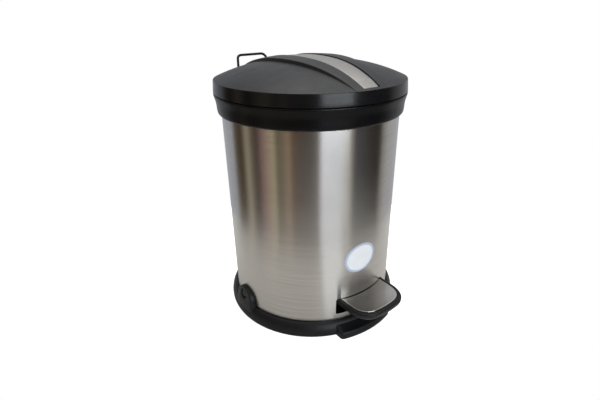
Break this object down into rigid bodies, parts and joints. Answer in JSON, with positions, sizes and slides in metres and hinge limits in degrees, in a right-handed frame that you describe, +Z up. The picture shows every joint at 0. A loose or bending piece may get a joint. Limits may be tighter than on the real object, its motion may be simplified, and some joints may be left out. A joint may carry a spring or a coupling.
{
  "type": "pedal trash can",
  "caption": "Round pedal bin: brushed steel body, black base ring and collar, domed hinged lid with a steel inlay, foot pedal, push rod, inner bucket and wire carry handle.",
  "frame": {"origin": "centre of the flat underside, on the bin's axis, at floor level", "axes": "+Z up along the bin's axis, -Y towards the pedal, +Y towards the lid hinge, +X to the right as seen from behind the bin"},
  "size_m": [0.2004, 0.253, 0.2785],
  "materials": {
    "black_plastic": "satin black moulding with a fine grain",
    "cover_plastic": "matt black moulding",
    "collar_plastic": "smooth semi-gloss black moulding",
    "lid_plastic": "satin black moulding, finely textured on top, smoother on the skirt",
    "pedal_plastic": "satin black moulding",
    "bucket_plastic": "matt dark grey moulding",
    "body_steel": "stainless steel brushed around the body",
    "pedal_steel": "stainless steel, finely brushed across the pedal",
    "strip_steel": "stainless steel inlay, brushed along its length",
    "plain_steel": "zinc-plated steel",
    "bare_wire": "bright steel wire",
    "black_wire": "black powder-coated wire",
    "label_film": "blank white oval sticker with a pale blue edge"
  },
  "bodies": {
    "stand": {"base_ring": "black_plastic", "bottom_cover": "cover_plastic", "bottom_screw_1": "plain_steel", "bottom_screw_2": "plain_steel", "bottom_screw_3": "plain_steel", "bottom_screw_4": "plain_steel", "body_shell": "body_steel", "label": "label_film", "collar": "collar_plastic", "hinge_pin": "plain_steel", "axle": "plain_steel", "axle_cap_left": "cover_plastic", "axle_cap_right": "cover_plastic"},
    "pedal": {"pedal_lever": "plain_steel", "pedal_housing": "pedal_plastic", "pedal_plate": "pedal_steel", "pedal_rivet_left": "plain_steel", "pedal_rivet_right": "plain_steel"},
    "rod": {"push_rod": "plain_steel", "rod_foot": "cover_plastic"},
    "lid": {"lid_shell": "lid_plastic", "lid_strip": "strip_steel", "lid_hinge_arm": "cover_plastic", "lid_screw_left": "plain_steel", "lid_screw_right": "plain_steel"},
    "bucket": {"inner_bucket": "bucket_plastic"},
    "bail": {"bucket_bail": "bare_wire"},
    "handle": {"carry_handle": "black_wire"}
  },
  "joints": [
    {"name": "pedal_hinge", "type": "hinge", "parent": "stand", "child": "pedal", "pos_m": [0, 0, 0.027], "axis": [1, 0, 0], "range_deg": [0, 7]},
    {"name": "rod_slide", "type": "slide", "parent": "stand", "child": "rod", "axis": [0, 0, 1], "range_m": [0, 0.0106]},
    {"name": "lid_hinge", "type": "hinge", "parent": "stand", "child": "lid", "pos_m": [0, 0.0975, 0.2496], "axis": [-1, 0, 0], "range_deg": [0, 63.5]},
    {"name": "bucket_lift", "type": "slide", "parent": "stand", "child": "bucket", "axis": [0, 0, 1], "range_m": [0, 0.002]},
    {"name": "bail_hinge", "type": "hinge", "parent": "bucket", "child": "bail", "pos_m": [0, 0, 0.248], "axis": [-1, 0, 0], "range_deg": [0, 4]},
    {"name": "handle_hinge", "type": "hinge", "parent": "stand", "child": "handle", "pos_m": [0, 0.1045, 0.238], "axis": [-1, 0, 0], "range_deg": [0, 145]}
  ],
  "couplings": [
    {"joint": "rod_slide", "follows": "pedal_hinge", "m_per_rad": 0.086},
    {"joint": "lid_hinge", "follows": "pedal_hinge", "ratio": 9.0526}
  ]
}
